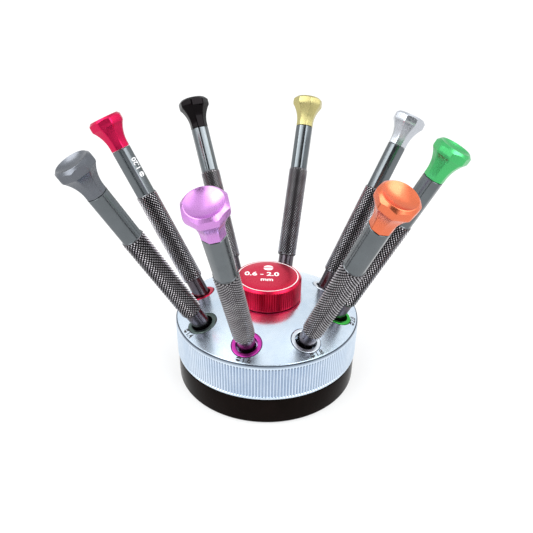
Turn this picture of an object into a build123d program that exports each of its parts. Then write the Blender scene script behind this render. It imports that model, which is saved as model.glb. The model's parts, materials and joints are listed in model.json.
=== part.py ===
from build123d import *
from math import cos, radians, sin, sqrt
import os

# Precision screwdriver set: eight swivel-head drivers lean outwards in the sockets of a
# domed turntable, which turns on a round base. A screw cap at the middle closes a well of
# spare blades. Millimetres, +Z up. The origin is the centre of the stand's underside.

# ---- Stand ----
TABLE_RADIUS = 42.0
TABLE_BOTTOM = 13.6
RIM_TOP = 29.6
RIM_BEVEL_WIDTH = 1.0
DOME_EDGE_Z = 31.2
DOME_RADIUS = 100.0
SEAT_RADIUS = 16.0
SEAT_Z = 38.7
COLLAR_RADIUS = 12.7
COLLAR_TOP = 45.1
WELL_RADIUS = 11.2
WELL_FLOOR = 25.2

BASE_RADIUS = 41.7
BASE_BOTTOM = 0.4
BASE_TOP = 13.0
BASE_LOWER_ROUND = 1.0
BASE_UPPER_ROUND = 0.6
FOOT_RADIUS = 38.0
FOOT_THICKNESS = 1.6

# ---- Spindle and bearing (608 size) ----
SPINDLE_RADIUS = 4.0
SPINDLE_SHOULDER_RADIUS = 5.2
SPINDLE_FLANGE_RADIUS = 9.0
SPINDLE_FLANGE_Z = 10.0
SPINDLE_TOP = 23.2
BEARING_Z = 14.8
BEARING_WIDTH = 7.0
BEARING_OUTER_RADIUS = 11.0
BEARING_INNER_LAND = 5.9
BEARING_OUTER_LAND = 9.1
BALL_PITCH_RADIUS = 7.5
BALL_RADIUS = 1.95
BALL_COUNT = 7
RACE_CLEARANCE = 0.03
CAGE_HALF_WALL = 0.5
CAGE_HALF_HEIGHT = 2.6
RELIEF_RADIUS = 9.4
RELIEF_TOP = 23.6
CLIP_GROOVE_RADIUS = 3.5
CLIP_RADIUS = 5.4
CLIP_THICKNESS = 0.8
SCREW_RADIUS = 2.0
SCREW_HEAD_RADIUS = 4.0
SCREW_TOP = 16.2

# ---- Cap ----
CAP_RADIUS = 15.2
CAP_BOTTOM = 39.0
CAP_TOP = 49.3
CAP_BEVEL = 0.9
CAP_BORE_RADIUS = 13.0
CAP_CEILING = 46.4
LINER_THICKNESS = 1.0

# ---- Spare blades ----
RACK_HEIGHT = 8.0
RACK_HOLE_DEPTH = 7.0
RACK_PITCH_RADIUS = 7.6
RACK_CLEARANCE = 0.1

# ---- Sockets: each has its own axis, measured down (negative) from the bush's face ----
DRIVER_COUNT = 8
FIRST_AZIMUTH = 31.6
SOCKET_RADIUS = 33.1
SOCKET_Z = 35.2
SOCKET_TILT = 28.0
BUSH_RADIUS = 6.45
BUSH_BORE = 4.6
BUSH_LENGTH = 6.0
BUSH_PROUD = 0.2
NECK_HOLE_RADIUS = 4.4
NECK_HOLE_BOTTOM = -10.2
BLADE_HOLE_RADIUS = 1.9
BLADE_HOLE_BOTTOM = -20.2

# ---- Drivers: each along its own axis, from the bush's face (0) up to the head ----
NOSE_RADIUS = 2.4
NOSE_TIP = -9.7
NOSE_TOP = -6.4
NECK_RADIUS = 3.75
KNURL_RADIUS = 4.6
KNURL_START = 7.3
KNURL_END = 52.0
KNURL_CHAMFER = 0.5
FLATS = 8
FLAT_RADIUS = 3.95
CORNER_RADIUS = 4.2
HANDLE_END = 73.2

HEAD_START = 73.4
HEAD_LENGTH = 14.1
FLARE_START = 1.5
FLARE_ARC = 14.7
FLARE_END = 10.4
FLARE_STEPS = 6
RIM_FLAT_RADIUS = 6.95
RIM_CORNER_RADIUS = 7.4
DISH_EDGE_RADIUS = 6.1
DISH_DEPTH = 1.7

PIN_RADIUS = 1.5
PIN_START = HANDLE_END - 6.4
PIN_END = HEAD_START + 7.8
PIN_CLEARANCE = 0.05
PIN_GROOVE_RADIUS = 1.1
PIN_RING_RADIUS = 2.0
PIN_RING_Z = HEAD_START + 5.0
PIN_RING_THICKNESS = 0.6

BLADE_RADIUS = 1.0
BLADE_TOP = -0.4
BLADE_STEP = -14.2
BLADE_TIP = -19.2
BLADE_EDGE_SHARE = 0.22
SET_SCREW_RADIUS = 0.8
SET_SCREW_Z = -3.0
SET_SCREW_SINK = 0.25

# Blade widths run from 0.6 to 2.0 mm. Each driver stands a little askew in its socket:
# sideways (anticlockwise) and outwards, degrees. The twist turns its flats.
FIRST_BLADE_WIDTH = 0.6
BLADE_WIDTH_STEP = 0.2
LEAN_PIVOT = -14.5
LEANS = [
    (-0.4, -0.6), (0.1, 0.5), (0.4, 1.0), (-0.2, -1.0),
    (-1.9, 0.9), (0.3, -0.3), (1.2, -0.2), (1.1, -2.4),
]
TWISTS = [6, 0, -6, -17, 0, -20, -20, 20]

LIFT = 10.0


def rod(radius, low, high):
    """A cylinder about +Z between two heights."""
    return Pos(0, 0, low) * Cylinder(radius, high - low, align=(Align.CENTER, Align.CENTER, Align.MIN))


def tube(inner, outer, low, high):
    """A ring about +Z between two heights."""
    return rod(outer, low, high) - rod(inner, low - 1, high + 1)


def turned(*corners):
    """A solid of revolution about +Z from (radius, height) corners."""
    outline = Polyline(*[(radius, 0, height) for radius, height in corners], close=True)
    return revolve(make_face(outline), Axis.Z)


# ---------------------------------------------------------------- stand

def under_dome(above=0):
    """Everything below the domed top, or below a level this far above it."""
    sphere_centre = DOME_EDGE_Z - sqrt(DOME_RADIUS**2 - (TABLE_RADIUS - RIM_BEVEL_WIDTH) ** 2)
    return Pos(0, 0, sphere_centre) * Sphere(DOME_RADIUS + above)


def socket_location(index):
    """Where a socket's axis starts, at the bush's face, with +Z out along it."""
    azimuth = radians(FIRST_AZIMUTH + 360 / DRIVER_COUNT * index)
    outward = Vector(cos(azimuth), sin(azimuth), 0)
    tilt = radians(SOCKET_TILT)
    axis = outward * sin(tilt) + Vector(0, 0, cos(tilt))
    downhill = outward * cos(tilt) - Vector(0, 0, sin(tilt))
    face = outward * SOCKET_RADIUS + Vector(0, 0, SOCKET_Z)
    return Plane(origin=face, x_dir=downhill, z_dir=axis).location


def driver_location(index):
    """A driver's own axis: its socket's, leaning about a point inside the socket."""
    sideways, outwards = LEANS[index]
    pivot = Pos(0, 0, LEAN_PIVOT)
    lean = Rot(-sideways, outwards, 0)
    return socket_location(index) * pivot * lean * Pos(0, 0, -LEAN_PIVOT) * Rot(0, 0, TWISTS[index])


def socket_hole():
    """The stepped hole that takes a bush, a neck and a blade."""
    return (
        rod(BUSH_RADIUS, -BUSH_LENGTH, LIFT)
        + rod(NECK_HOLE_RADIUS, NECK_HOLE_BOTTOM, 0)
        + rod(BLADE_HOLE_RADIUS, BLADE_HOLE_BOTTOM, 0)
    )


def turntable():
    """The domed disc with its sockets, spare blade well, threaded collar and bearing seat."""
    disc = turned(
        (0, TABLE_BOTTOM),
        (TABLE_RADIUS, TABLE_BOTTOM),
        (TABLE_RADIUS, RIM_TOP),
        (TABLE_RADIUS - RIM_BEVEL_WIDTH, DOME_EDGE_Z),
        (TABLE_RADIUS - RIM_BEVEL_WIDTH, COLLAR_TOP),
        (0, COLLAR_TOP),
    )
    body = disc & under_dome()
    body -= rod(SEAT_RADIUS, SEAT_Z, COLLAR_TOP)
    body += rod(COLLAR_RADIUS, SEAT_Z, COLLAR_TOP)
    body -= rod(WELL_RADIUS, WELL_FLOOR, COLLAR_TOP)
    body -= rod(BEARING_OUTER_RADIUS, TABLE_BOTTOM, BEARING_Z + BEARING_WIDTH)
    body -= rod(RELIEF_RADIUS, TABLE_BOTTOM, RELIEF_TOP)
    for index in range(DRIVER_COUNT):
        body -= socket_location(index) * socket_hole()
    return body


def base_housing():
    """The round base, with a pocket under it for the foot and one on top for the spindle."""
    body = rod(BASE_RADIUS, BASE_BOTTOM, BASE_TOP)
    body = fillet(body.edges().sort_by(Axis.Z)[0], BASE_LOWER_ROUND)
    body = fillet(body.edges().sort_by(Axis.Z)[-1], BASE_UPPER_ROUND)
    body -= rod(FOOT_RADIUS, BASE_BOTTOM, FOOT_THICKNESS)
    body -= rod(SPINDLE_FLANGE_RADIUS, SPINDLE_FLANGE_Z, BASE_TOP)
    body -= rod(SCREW_RADIUS, BASE_BOTTOM, SPINDLE_FLANGE_Z)
    body -= screw_head()
    return body


def screw_head():
    """The countersunk head, flush with the floor of the foot's pocket."""
    cone_height = SCREW_HEAD_RADIUS - SCREW_RADIUS
    return turned(
        (0, FOOT_THICKNESS),
        (SCREW_HEAD_RADIUS, FOOT_THICKNESS),
        (SCREW_RADIUS, FOOT_THICKNESS + cone_height),
        (0, FOOT_THICKNESS + cone_height),
    )


def spindle():
    """The fixed post that carries the bearing, and the clip in the groove near its top."""
    groove_bottom = BEARING_Z + BEARING_WIDTH
    body = rod(SPINDLE_FLANGE_RADIUS, SPINDLE_FLANGE_Z, BASE_TOP)
    body += rod(SPINDLE_SHOULDER_RADIUS, BASE_TOP, BEARING_Z)
    body += rod(SPINDLE_RADIUS, BEARING_Z, SPINDLE_TOP)
    body -= tube(CLIP_GROOVE_RADIUS, SPINDLE_RADIUS + 1, groove_bottom, groove_bottom + CLIP_THICKNESS)
    body -= rod(SCREW_RADIUS, SPINDLE_FLANGE_Z, SCREW_TOP)
    return Compound(children=[body, retaining_clip()])


def retaining_clip():
    """The split ring in the spindle's groove, over the bearing's inner ring."""
    low = BEARING_Z + BEARING_WIDTH
    gap = Pos(0, -CLIP_RADIUS, low) * Box(2 * SPINDLE_RADIUS * 0.6, CLIP_RADIUS, 4 * CLIP_THICKNESS)
    return tube(CLIP_GROOVE_RADIUS, CLIP_RADIUS, low, low + CLIP_THICKNESS) - gap


def spindle_screw():
    """The countersunk screw that holds the spindle from below, with a driving slot."""
    slot = Pos(0, 0, FOOT_THICKNESS) * Box(2 * SCREW_HEAD_RADIUS, 1.0, 2.0)
    return screw_head() + rod(SCREW_RADIUS, FOOT_THICKNESS, SCREW_TOP) - slot


def race_groove():
    """The ring-shaped hollow in which the balls run."""
    groove = Torus(BALL_PITCH_RADIUS, BALL_RADIUS + RACE_CLEARANCE)
    return Pos(0, 0, BEARING_Z + BEARING_WIDTH / 2) * groove


def bearing_inner_ring():
    """The ring on the spindle."""
    return tube(SPINDLE_RADIUS, BEARING_INNER_LAND, BEARING_Z, BEARING_Z + BEARING_WIDTH) - race_groove()


def bearing_outer_ring():
    """The ring pressed into the turntable."""
    top = BEARING_Z + BEARING_WIDTH
    return tube(BEARING_OUTER_LAND, BEARING_OUTER_RADIUS, BEARING_Z, top) - race_groove()


def bearing_ball_places():
    """The ball centres, evenly round the pitch circle at mid width."""
    middle = Pos(0, 0, BEARING_Z + BEARING_WIDTH / 2)
    return [middle * Rot(0, 0, 360 / BALL_COUNT * n) * Pos(BALL_PITCH_RADIUS, 0, 0) for n in range(BALL_COUNT)]


def bearing_cage():
    """The band that spaces the balls, with a round pocket for each."""
    middle = BEARING_Z + BEARING_WIDTH / 2
    low = middle - CAGE_HALF_HEIGHT
    high = middle + CAGE_HALF_HEIGHT
    band = tube(BALL_PITCH_RADIUS - CAGE_HALF_WALL, BALL_PITCH_RADIUS + CAGE_HALF_WALL, low, high)
    for place in bearing_ball_places():
        band -= place * Rot(0, 90, 0) * Cylinder(BALL_RADIUS + RACE_CLEARANCE, 2 * BALL_RADIUS)
    return band


def bearing_cage_and_balls():
    """The cage with its balls, which go round together."""
    balls = [place * Sphere(BALL_RADIUS) for place in bearing_ball_places()]
    return Compound(children=[bearing_cage()] + balls)


# ---------------------------------------------------------------- cap and spare blades

def cap():
    """The screw cap: a cup that covers the collar."""
    return turned(
        (CAP_BORE_RADIUS, CAP_BOTTOM),
        (CAP_RADIUS, CAP_BOTTOM),
        (CAP_RADIUS, CAP_TOP - CAP_BEVEL),
        (CAP_RADIUS - CAP_BEVEL, CAP_TOP),
        (0, CAP_TOP),
        (0, CAP_CEILING),
        (CAP_BORE_RADIUS, CAP_CEILING),
    )


def cap_liner():
    """The loose sealing disc between the cap and the collar."""
    low = COLLAR_TOP + 0.1
    return rod(CAP_BORE_RADIUS - 0.3, low, low + LINER_THICKNESS)


def spare_blade_places():
    """The foot of each spare blade in the rack, tip down."""
    foot = WELL_FLOOR + RACK_HEIGHT - RACK_HOLE_DEPTH - BLADE_TIP
    turns = [360 / DRIVER_COUNT * n for n in range(DRIVER_COUNT)]
    return [Rot(0, 0, turn) * Pos(RACK_PITCH_RADIUS, 0, foot) for turn in turns]


def blade_rack():
    """The moulded disc in the well, with one hole for each spare blade."""
    body = rod(WELL_RADIUS - RACK_CLEARANCE, WELL_FLOOR, WELL_FLOOR + RACK_HEIGHT)
    for place in spare_blade_places():
        body -= place * rod(BLADE_RADIUS + RACK_CLEARANCE, BLADE_TIP, 0)
    return body


def spare_blades():
    """One spare for each driver, as a group."""
    return Compound(children=[place * blade(n) for n, place in enumerate(spare_blade_places())])


# ---------------------------------------------------------------- sockets and drivers

def socket_bush(index):
    """The coloured ring that lines a socket, its top following the dome."""
    ring = tube(BUSH_BORE, BUSH_RADIUS, -BUSH_LENGTH, LIFT)
    return (socket_location(index) * ring) & under_dome(BUSH_PROUD)


def octagonal_bar(flat_radius, low, high):
    """An eight-sided bar with a flat facing +X."""
    section = Rot(0, 0, 180 / FLATS) * RegularPolygon(flat_radius, FLATS, major_radius=False)
    return Pos(0, 0, low) * extrude(section, high - low)


def set_screw_hole():
    """The cross hole of the blade's set screw, out through the +X side."""
    return Pos(0, 0, SET_SCREW_Z) * Rot(0, 90, 0) * rod(SET_SCREW_RADIUS, 0, NECK_RADIUS + 1)


def driver_handle():
    """The nose, neck, grip and octagonal end, bored for the blade and the pivot pin."""
    body = turned(
        (0, NOSE_TIP),
        (NOSE_RADIUS, NOSE_TIP),
        (NECK_RADIUS, NOSE_TOP),
        (NECK_RADIUS, KNURL_START),
        (KNURL_RADIUS - KNURL_CHAMFER, KNURL_START),
        (KNURL_RADIUS, KNURL_START + KNURL_CHAMFER),
        (KNURL_RADIUS, KNURL_END - KNURL_CHAMFER),
        (KNURL_RADIUS - KNURL_CHAMFER, KNURL_END),
        (0, KNURL_END),
    )
    body += octagonal_bar(FLAT_RADIUS, KNURL_END, HANDLE_END) & rod(CORNER_RADIUS, KNURL_END, HANDLE_END)
    body -= rod(BLADE_RADIUS, NOSE_TIP, BLADE_TOP)
    body -= rod(PIN_RADIUS, PIN_START, HANDLE_END)
    return body - set_screw_hole()


def flare(height):
    """The head's half width across flats at a height above its foot."""
    rise = FLARE_ARC - sqrt(FLARE_ARC**2 - max(0, height - FLARE_START) ** 2)
    return min(FLAT_RADIUS + rise, RIM_FLAT_RADIUS)


def head_blank():
    """The octagonal trumpet, before its rim is bevelled and its top is dished."""
    step = (FLARE_END - FLARE_START) / FLARE_STEPS
    heights = [0] + [FLARE_START + step * n for n in range(FLARE_STEPS + 1)] + [HEAD_LENGTH]
    turn = Rot(0, 0, 180 / FLATS)
    sections = [
        Pos(0, 0, height) * turn * RegularPolygon(flare(height), FLATS, major_radius=False)
        for height in heights
    ]
    return loft(sections, ruled=True)


def driver_head():
    """The swivel head, with a bevelled rim, a dished top and a blind bore with a ring groove."""
    bevel_depth = RIM_CORNER_RADIUS - DISH_EDGE_RADIUS
    envelope = turned(
        (0, 0),
        (CORNER_RADIUS, 0),
        (RIM_CORNER_RADIUS, FLARE_END),
        (RIM_CORNER_RADIUS, HEAD_LENGTH - bevel_depth),
        (DISH_EDGE_RADIUS, HEAD_LENGTH),
        (0, HEAD_LENGTH),
    )
    dish_sphere = (DISH_EDGE_RADIUS**2 + DISH_DEPTH**2) / (2 * DISH_DEPTH)
    dish = Pos(0, 0, HEAD_LENGTH - DISH_DEPTH + dish_sphere) * Sphere(dish_sphere)
    body = Pos(0, 0, HEAD_START) * ((head_blank() & envelope) - dish)
    body -= rod(PIN_RADIUS + PIN_CLEARANCE, HEAD_START, PIN_END + PIN_CLEARANCE)
    groove_half = PIN_RING_THICKNESS / 2 + PIN_CLEARANCE
    body -= rod(PIN_RING_RADIUS + PIN_CLEARANCE, PIN_RING_Z - groove_half, PIN_RING_Z + groove_half)
    return body


def pivot_pin():
    """The pin fixed in the handle, and the snap ring that keeps the head on it."""
    low = PIN_RING_Z - PIN_RING_THICKNESS / 2
    high = PIN_RING_Z + PIN_RING_THICKNESS / 2
    pin = rod(PIN_RADIUS, PIN_START, PIN_END) - tube(PIN_GROOVE_RADIUS, PIN_RADIUS + 1, low, high)
    snap_ring = tube(PIN_GROOVE_RADIUS, PIN_RING_RADIUS, low, high)
    snap_ring -= Pos(PIN_RING_RADIUS, 0, PIN_RING_Z) * Box(2 * PIN_RING_RADIUS, 1.0, 2.0)
    return Compound(children=[pin, snap_ring])


def blade_width(index):
    """The width of a driver's blade at its tip."""
    return FIRST_BLADE_WIDTH + BLADE_WIDTH_STEP * index


def blade(index):
    """A blade: a shank, a stepped-down stem and a flat wedge at the tip."""
    half_width = blade_width(index) / 2
    half_edge = half_width * BLADE_EDGE_SHARE
    wedge_top = BLADE_TIP + 1.8 * blade_width(index)
    stem = rod(half_width, BLADE_TIP, BLADE_STEP)
    wedge = Polyline(
        (-half_edge, 0, BLADE_TIP),
        (half_edge, 0, BLADE_TIP),
        (half_width, 0, wedge_top),
        (half_width, 0, BLADE_STEP),
        (-half_width, 0, BLADE_STEP),
        (-half_width, 0, wedge_top),
        close=True,
    )
    stem &= extrude(make_face(wedge), half_width, both=True)
    return rod(BLADE_RADIUS, BLADE_STEP, BLADE_TOP) + stem


def set_screw():
    """The slotted grub screw that holds the blade."""
    inner = BLADE_RADIUS + 0.02
    outer = NECK_RADIUS - SET_SCREW_SINK
    slot = Pos(0, 0, outer) * Box(2 * SET_SCREW_RADIUS, 0.3, 0.8)
    return Pos(0, 0, SET_SCREW_Z) * Rot(0, 90, 0) * (rod(SET_SCREW_RADIUS, inner, outer) - slot)


# ---------------------------------------------------------------- nodes

nodes = {
    "base_housing": base_housing(),
    "foot_pad": rod(FOOT_RADIUS, 0, FOOT_THICKNESS),
    "spindle": spindle(),
    "spindle_screw": spindle_screw(),
    "bearing_inner_ring": bearing_inner_ring(),
    "bearing_outer_ring": bearing_outer_ring(),
    "bearing_cage": bearing_cage_and_balls(),
    "turntable": turntable(),
    "cap": cap(),
    "cap_liner": cap_liner(),
    "blade_rack": blade_rack(),
    "spare_blades": spare_blades(),
}
for index in range(DRIVER_COUNT):
    number = index + 1
    driver = driver_location(index)
    nodes[f"socket_bush_{number}"] = socket_bush(index)
    nodes[f"handle_{number}"] = driver * driver_handle()
    nodes[f"swivel_head_{number}"] = driver * driver_head()
    nodes[f"pivot_pin_{number}"] = driver * pivot_pin()
    nodes[f"blade_{number}"] = driver * blade(index)
    nodes[f"set_screw_{number}"] = driver * set_screw()

os.makedirs("parts", exist_ok=True)
for name, shape in nodes.items():
    shape.label = name
    export_step(shape, f"parts/{name}.step")
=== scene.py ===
import bpy
import bmesh
import json
from math import acos, atan2, cos, degrees, hypot, pi, radians, sin, sqrt, tan
from mathutils import Matrix, Vector


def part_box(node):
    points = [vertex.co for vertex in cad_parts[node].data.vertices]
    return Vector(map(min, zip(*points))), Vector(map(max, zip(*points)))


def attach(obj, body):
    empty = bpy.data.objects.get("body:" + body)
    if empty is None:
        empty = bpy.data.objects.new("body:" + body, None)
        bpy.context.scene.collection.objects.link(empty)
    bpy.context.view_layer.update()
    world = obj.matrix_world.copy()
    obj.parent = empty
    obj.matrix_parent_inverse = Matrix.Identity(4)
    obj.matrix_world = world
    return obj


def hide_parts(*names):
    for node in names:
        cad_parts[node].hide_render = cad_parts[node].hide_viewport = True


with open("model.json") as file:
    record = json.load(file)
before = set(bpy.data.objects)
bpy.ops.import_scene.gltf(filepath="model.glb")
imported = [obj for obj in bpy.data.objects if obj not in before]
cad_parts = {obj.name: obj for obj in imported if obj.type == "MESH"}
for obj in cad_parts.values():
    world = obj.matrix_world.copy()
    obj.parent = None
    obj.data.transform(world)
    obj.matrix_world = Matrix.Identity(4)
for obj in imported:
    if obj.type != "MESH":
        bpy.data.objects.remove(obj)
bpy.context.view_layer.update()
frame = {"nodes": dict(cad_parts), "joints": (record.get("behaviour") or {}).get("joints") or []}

MM = 0.001
DRIVERS = 8
COLOURS = ["white", "gold", "black", "red", "grey", "purple", "orange", "green"]
SIZES = ["0.6", "0.8", "1.0", "1.2", "1.4", "1.6", "1.8", "2.0"]

# ---- Stand, millimetres ----
TABLE_RADIUS = 42.0
TABLE_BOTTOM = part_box("turntable")[0][2] / MM
RIM_TOP = 29.6
DOME_EDGE_RADIUS = 41.0
DOME_EDGE_Z = 31.2
DOME_SPHERE = 100.0
DOME_CENTRE_Z = DOME_EDGE_Z - sqrt(DOME_SPHERE**2 - DOME_EDGE_RADIUS**2)
LIP_TOP = 14.5
SEAT_RADIUS = 16.0
SEAT_Z = 38.7
COLLAR_RADIUS = 12.7
COLLAR_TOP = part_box("turntable")[1][2] / MM
THREAD_PITCH = 1.25
THREAD_DEPTH = 0.45
THREAD_ROWS = 34
WELL_RADIUS = 11.2
WELL_FLOOR = 25.2
BEARING_RADIUS = 11.0
BEARING_TOP = 21.8
RELIEF_RADIUS = 9.4
RELIEF_TOP = 23.6
FLUTES = 200
FLUTE_DEPTH = 0.42

BASE_RADIUS = 41.7
BASE_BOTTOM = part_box("base_housing")[0][2] / MM
BASE_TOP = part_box("base_housing")[1][2] / MM
SPINDLE_SEAT_RADIUS = 9.0
SPINDLE_SEAT_Z = 10.0
SCREW_RADIUS = 2.0
SCREW_HEAD_RADIUS = 4.0
FOOT_RADIUS = 38.0
FOOT_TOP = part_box("foot_pad")[1][2] / MM
FOOT_GROOVES = 8
FOOT_GROOVE_START = 8.0
FOOT_GROOVE_PITCH = 3.6
FOOT_GROOVE_DEPTH = 0.5

CAP_RADIUS = 15.2
CAP_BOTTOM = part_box("cap")[0][2] / MM
CAP_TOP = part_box("cap")[1][2] / MM
CAP_BORE = 13.0
CAP_CEILING = 46.4
CAP_FLUTES = 90
CAP_FLUTE_DEPTH = 0.34
BORE_CHAMFER = 0.3

# ---- Sockets, along their own axes from the bush's face ----
FIRST_AZIMUTH = radians(31.6)
SOCKET_RADIUS = 33.1
SOCKET_Z = 35.2
SOCKET_TILT = radians(28)
BUSH_RADIUS = 6.45
BUSH_BORE = 4.6
BUSH_LENGTH = 6.0
BUSH_PROUD = 0.2
BUSH_GAP = 0.2
BUSH_WAIST = -3.0
NECK_HOLE = 4.4
NECK_HOLE_BOTTOM = -10.2
BLADE_HOLE = 1.9
BLADE_HOLE_BOTTOM = -20.2

# ---- Drivers, along their own axes from the handle's upper end ----
HEAD_FOOT = 73.4
NOSE_TIP = -9.7 - HEAD_FOOT
NOSE_TOP = -6.4 - HEAD_FOOT
NOSE_RADIUS = 2.4
NECK_RADIUS = 3.75
GRIP_LOW = 7.3 - HEAD_FOOT
GRIP_HIGH = 52.0 - HEAD_FOOT
GRIP_RADIUS = 4.6
KNURL_DEPTH = 0.5
KNURLS_AROUND = 21
KNURL_ROWS = 60
KNURL_LAND = 0.22
HANDLE_END = -0.2
FLATS = 8
FLAT_RADIUS = 3.95
LAND_RATIO = 4.2 / 3.95
LAND_ANGLE = degrees(acos(1 / LAND_RATIO))
FLAT_CROWN = 0.03
HEAD_CROWN = 0.004
SCREW_HOLE_RADIUS = 0.8
SCREW_HOLE_FLOOR = 1.3
SCREW_HOLE_Z = -3.0 - HEAD_FOOT
BLADE_BORE = 1.0
BLADE_BORE_DEPTH = 8.0
PIN_BORE = 1.5
PIN_BORE_DEPTH = 6.4
HEAD_BORE = 1.55
HEAD_BORE_DEPTH = 7.85
RING_GROOVE_RADIUS = 2.05
RING_GROOVE = (4.65, 5.35)
HEAD_LENGTH = 14.1
RIM_FLAT = 6.94
DISH_RADIUS = 6.1
DISH_DEPTH = 1.7
TWISTS = [6, 0, -6, -17, 0, -20, -20, 20]

# ---- mesh building

AXIS_DISTANCE = "axis_distance"
OUTSIDE_POINTS = 192
ROUND_POINTS = 144
BORE_POINTS = 96

class Shell:
    """Rings of points, in millimetres, and the faces between them."""

    def __init__(self):
        self.points = []
        self.faces = []
        self.kinds = []

    def ring(self, points):
        """Adds points and returns their numbers."""
        first = len(self.points)
        self.points.extend(Vector(p) for p in points)
        return list(range(first, len(self.points)))

    def face(self, corners, kind=0):
        """Adds one face."""
        self.faces.append(corners)
        self.kinds.append(kind)

    def band(self, low, high, kind=0):
        """Four-sided faces between two closed rings of as many points."""
        count = len(low)
        for i in range(count):
            j = (i + 1) % count
            self.face([low[i], low[j], high[j], high[i]], kind)

    def climb(self, last, rings, kind=0):
        """Bands up through rings of as many points, on from a ring if given. Returns the last ring."""
        for ring in rings:
            if last:
                self.band(last, ring, kind)
            last = ring
        return last

    def zip(self, low, high, kind=0):
        """Triangles between two closed rings with different numbers of points, by angle about +Z."""
        turn = 2 * pi
        angles = [[atan2(self.points[p].y, self.points[p].x) % turn for p in ring] for ring in (low, high)]
        starts = [min(range(len(a)), key=a.__getitem__) for a in angles]
        rings = [ring[s:] + ring[:s] for ring, s in zip((low, high), starts)]
        angles = [a[s:] + a[:s] + [a[s] + turn] for a, s in zip(angles, starts)]
        i = j = 0
        while i < len(low) or j < len(high):
            a, b = rings[0][i % len(low)], rings[1][j % len(high)]
            if j == len(high) or (i < len(low) and angles[0][i + 1] <= angles[1][j + 1]):
                self.face([a, rings[0][(i + 1) % len(low)], b], kind)
                i += 1
            else:
                self.face([a, rings[1][(j + 1) % len(high)], b], kind)
                j += 1

    def lathe(self, profile, segments, start=None, kind=0):
        """Bands through (radius, height) points, on from a ring if given. Returns the last ring."""
        last = start
        for radius, height in profile:
            ring = self.ring(circle(radius, height, segments))
            if last:
                join = self.band if len(last) == len(ring) else self.zip
                join(last, ring, kind)
            last = ring
        return last

    def turned(self, profile, segments):
        """A ring-shaped solid from a closed (radius, height) outline."""
        first = self.ring(circle(*profile[0], segments))
        last = self.lathe(profile[1:], segments, first)
        self.band(last, first)

    def fan(self, ring, centre, kind=0):
        """Closes a ring with triangles to a point."""
        tip = self.ring([centre])[0]
        for i in range(len(ring)):
            self.face([ring[i], ring[(i + 1) % len(ring)], tip], kind)

    def piece(self, name, materials, place=Matrix(), sharp=radians(22), merge=0.0):
        """The finished object: closed, facing outwards, smooth except at sharp edges."""
        mesh = bpy.data.meshes.new(name)
        mesh.from_pydata([place @ (p * MM) for p in self.points], [], self.faces)
        reach = mesh.attributes.new(AXIS_DISTANCE, "FLOAT", "POINT")
        reach.data.foreach_set("value", [hypot(p.x, p.y) * MM for p in self.points])
        for material in materials:
            mesh.materials.append(material)
        mesh.polygons.foreach_set("material_index", self.kinds)
        work = bmesh.new()
        work.from_mesh(mesh)
        if merge:
            bmesh.ops.remove_doubles(work, verts=work.verts, dist=merge * MM)
        bmesh.ops.recalc_face_normals(work, faces=work.faces)
        work.to_mesh(mesh)
        work.free()
        mesh.polygons.foreach_set("use_smooth", [True] * len(mesh.polygons))
        mesh.set_sharp_from_angle(angle=sharp)
        made = bpy.data.objects.new(name, mesh)
        bpy.context.scene.collection.objects.link(made)
        return made

def circle(radius, height, segments):
    """Points of a circle about +Z."""
    step = 2 * pi / segments
    return [(radius * cos(step * i), radius * sin(step * i), height) for i in range(segments)]

ARC_STEPS = 8

def softened(corners):
    """An outline of (x, y, round) corners with each corner turned into an arc of that radius."""
    out = []
    for i, (x, y, size) in enumerate(corners):
        here = Vector((x, y))
        if not size:
            out.append((x, y))
            continue
        before = (Vector(corners[i - 1][:2]) - here).normalized()
        after = (Vector(corners[(i + 1) % len(corners)][:2]) - here).normalized()
        half = acos(max(-1, min(1, before.dot(after)))) / 2
        reach = size / tan(half)
        centre = here + (before + after).normalized() * size / sin(half)
        first = here + before * reach - centre
        last = here + after * reach - centre
        sweep = first.angle_signed(last)
        for k in range(ARC_STEPS + 1):
            out.append(tuple(centre + Matrix.Rotation(-sweep * k / ARC_STEPS, 2) @ first))
    return out

def dome_height(radius):
    """The dome's height at a radius."""
    return DOME_CENTRE_Z + sqrt(DOME_SPHERE**2 - radius**2)

def socket_place(index):
    """A socket's own frame: +Z out along its axis from the bush's face, +X downhill, in millimetres."""
    azimuth = FIRST_AZIMUTH + 2 * pi / DRIVERS * index
    outward = Vector((cos(azimuth), sin(azimuth), 0))
    up = Vector((0, 0, 1))
    axis = outward * sin(SOCKET_TILT) + up * cos(SOCKET_TILT)
    downhill = outward * cos(SOCKET_TILT) - up * sin(SOCKET_TILT)
    face = outward * SOCKET_RADIUS + up * SOCKET_Z
    return rigid(face, downhill, axis)

def rigid(origin, x_axis, z_axis):
    """The frame at a point with these +X and +Z directions."""
    z = Vector(z_axis).normalized()
    x = (Vector(x_axis) - z * Vector(x_axis).dot(z)).normalized()
    y = z.cross(x)
    turn = Matrix((x, y, z)).transposed().to_4x4()
    return Matrix.Translation(Vector(origin)) @ turn

def in_metres(place):
    """A frame with its origin turned from millimetres to metres."""
    made = place.copy()
    made.translation = place.translation * MM
    return made

def driver_place(index):
    """A driver's own frame, in metres: the head's pivot and axis from the frame, turned by its twist."""
    joint = next(j for j in frame["joints"] if j["name"] == f"head_{index + 1}_swivel")
    azimuth = FIRST_AZIMUTH + 2 * pi / DRIVERS * index
    outward = Vector((cos(azimuth), sin(azimuth), 0))
    place = rigid(joint["pos_m"], outward, joint["axis"])
    return place @ Matrix.Rotation(radians(TWISTS[index]), 4, "Z")

def install(piece, body, slot, *nodes):
    """Puts a piece on its body in place of CAD nodes; the slot argument is not used."""
    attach(piece, body)
    if nodes:
        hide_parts(*nodes)

# ---- materials

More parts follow.
